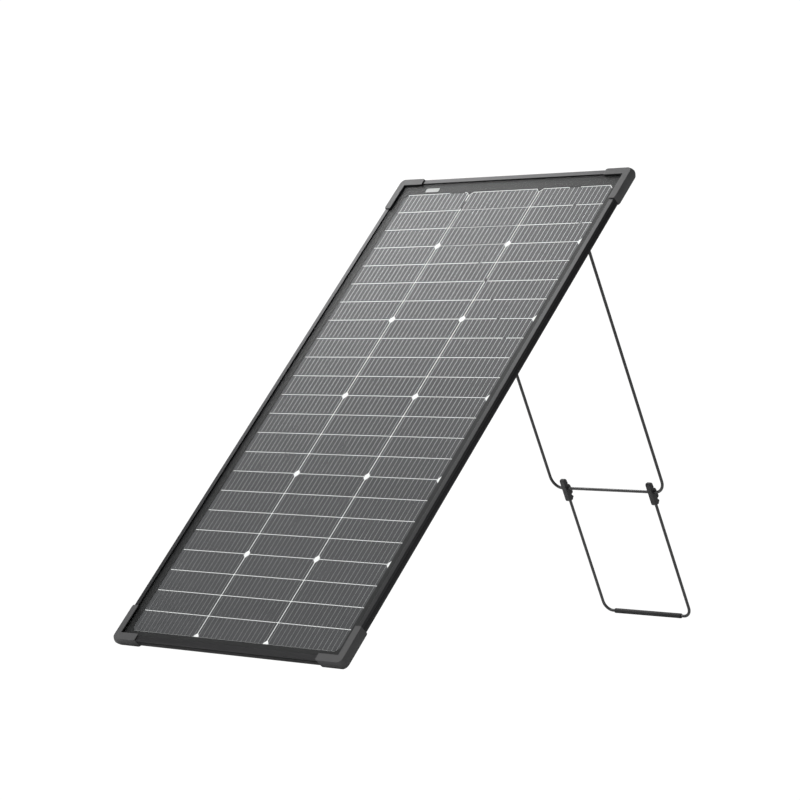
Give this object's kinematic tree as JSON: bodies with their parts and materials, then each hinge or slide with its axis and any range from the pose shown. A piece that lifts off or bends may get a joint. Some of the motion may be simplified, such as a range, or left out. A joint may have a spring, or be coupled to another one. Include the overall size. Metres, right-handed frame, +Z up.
{
  "type": "portable solar panel",
  "caption": "Rigid glass solar panel in a slim dark frame with corner guards, propped at a slope by a folding wire stand with a fold-out foot.",
  "frame": {"origin": "on the floor, under the middle of the bounding box with the stand open", "axes": "+Z up, +Y from the panel's lower edge towards the stand behind it, +X to the right of someone facing the cells"},
  "size_m": [0.6074, 1.1544, 0.8763],
  "materials": {
    "rail_anodised": "satin, dark anodised",
    "guard_plastic": "fine matte moulding",
    "clear_glass": "polished",
    "dark_print": "printed behind glass",
    "clear_film": "clear",
    "silicon_cell": "dark with fine silver fingers",
    "tinned_copper": "tinned",
    "seal_rubber": "matte",
    "box_plastic": "fine matte moulding",
    "plain_steel": "zinc plated",
    "coated_wire": "dark powder coat",
    "bracket_coating": "dark powder coat",
    "bush_plastic": "smooth moulding",
    "clip_plastic": "moulded",
    "foot_rubber": "soft matte"
  },
  "bodies": {
    "panel": {"frame_rail_bottom": "rail_anodised", "frame_rail_right": "rail_anodised", "frame_rail_top": "rail_anodised", "frame_rail_left": "rail_anodised", "corner_key_bottom_left": "plain_steel", "corner_guard_bottom_left": "guard_plastic", "guard_screw_bottom_left": "plain_steel", "corner_key_bottom_right": "plain_steel", "corner_guard_bottom_right": "guard_plastic", "guard_screw_bottom_right": "plain_steel", "corner_key_top_right": "plain_steel", "corner_guard_top_right": "guard_plastic", "guard_screw_top_right": "plain_steel", "corner_key_top_left": "plain_steel", "corner_guard_top_left": "guard_plastic", "guard_screw_top_left": "plain_steel", "front_glass": "clear_glass", "border_mask": "dark_print", "front_encapsulant": "clear_film", "cell_string_left": "silicon_cell", "cell_string_centre": "silicon_cell", "cell_string_right": "silicon_cell", "bus_ribbon_bottom": "tinned_copper", "bus_ribbon_top_left": "tinned_copper", "bus_ribbon_top_right": "tinned_copper", "rear_encapsulant": "clear_film", "rear_glass": "clear_glass", "edge_seal": "seal_rubber", "junction_box_base": "box_plastic", "junction_box_seal": "seal_rubber", "junction_box_lid": "box_plastic", "lid_screw_1": "plain_steel", "lid_screw_2": "plain_steel", "lid_screw_3": "plain_steel", "lid_screw_4": "plain_steel", "cable_gland_negative": "box_plastic", "terminal_negative": "tinned_copper", "cable_gland_positive": "box_plastic", "terminal_positive": "tinned_copper", "bypass_diode_left": "box_plastic", "bypass_diode_right": "box_plastic", "hinge_bracket_left": "bracket_coating", "pivot_bush_left": "bush_plastic", "bracket_screw_left_1": "plain_steel", "bracket_screw_left_2": "plain_steel", "hinge_bracket_right": "bracket_coating", "pivot_bush_right": "bush_plastic", "bracket_screw_right_1": "plain_steel", "bracket_screw_right_2": "plain_steel"},
    "upper_stand": {"upper_leg_loop": "coated_wire", "pin_retainer_left": "clip_plastic", "pin_retainer_right": "clip_plastic"},
    "lower_stand": {"lower_leg_loop": "coated_wire", "swivel_clip_left": "clip_plastic", "clip_hook_left": "clip_plastic", "swivel_clip_right": "clip_plastic", "clip_hook_right": "clip_plastic", "foot_sleeve": "foot_rubber"}
  },
  "joints": [
    {"name": "stand_hinge", "type": "hinge", "parent": "panel", "child": "upper_stand", "pos_m": [0, 0.17171, 0.83735], "axis": [-1, 0, 0], "range_deg": [0, 66.6]},
    {"name": "foot_fold", "type": "hinge", "parent": "upper_stand", "child": "lower_stand", "pos_m": [0, 0.45044, 0.2582], "axis": [1, 0, 0], "range_deg": [0, 178]}
  ]
}
